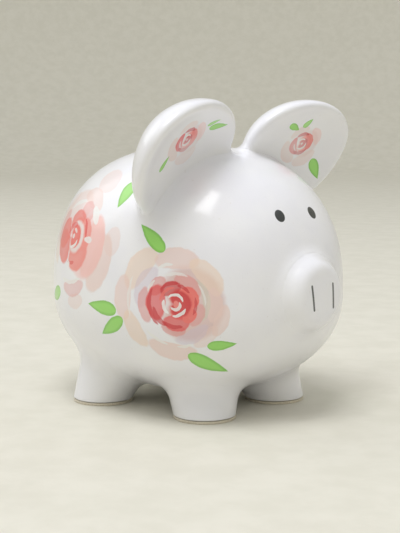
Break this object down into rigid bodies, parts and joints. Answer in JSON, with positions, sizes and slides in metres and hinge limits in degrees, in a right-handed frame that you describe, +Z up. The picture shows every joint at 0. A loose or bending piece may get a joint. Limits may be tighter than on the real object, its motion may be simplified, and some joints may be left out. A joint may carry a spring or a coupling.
{
  "type": "piggy bank",
  "caption": "Hollow glazed ceramic pig on four short legs that takes coins through a slot in its back and gives them out through a stoppered hole in its belly.",
  "frame": {"origin": "on the surface that the pig stands on, below the middle of its outer box", "axes": "+X towards the snout, +Y to the pig's left, +Z up"},
  "size_m": [0.1904, 0.168, 0.1724],
  "materials": {
    "white_glaze": "glossy clear glaze over white, with painted flowers",
    "foot_pad": "cream felt",
    "stopper_rubber": "matt translucent white rubber"
  },
  "bodies": {
    "pig": {"body_shell": "white_glaze", "snout": "white_glaze", "tail": "white_glaze", "ear_right": "white_glaze", "leg_front_right": "white_glaze", "foot_pad_front_right": "foot_pad", "leg_rear_right": "white_glaze", "foot_pad_rear_right": "foot_pad", "ear_left": "white_glaze", "leg_front_left": "white_glaze", "foot_pad_front_left": "foot_pad", "leg_rear_left": "white_glaze", "foot_pad_rear_left": "foot_pad"},
    "stopper": {"stopper": "stopper_rubber"}
  },
  "joints": [
    {"name": "stopper_pull", "type": "slide", "parent": "pig", "child": "stopper", "axis": [0, 0, -1], "range_m": [0, 0.0054]}
  ]
}
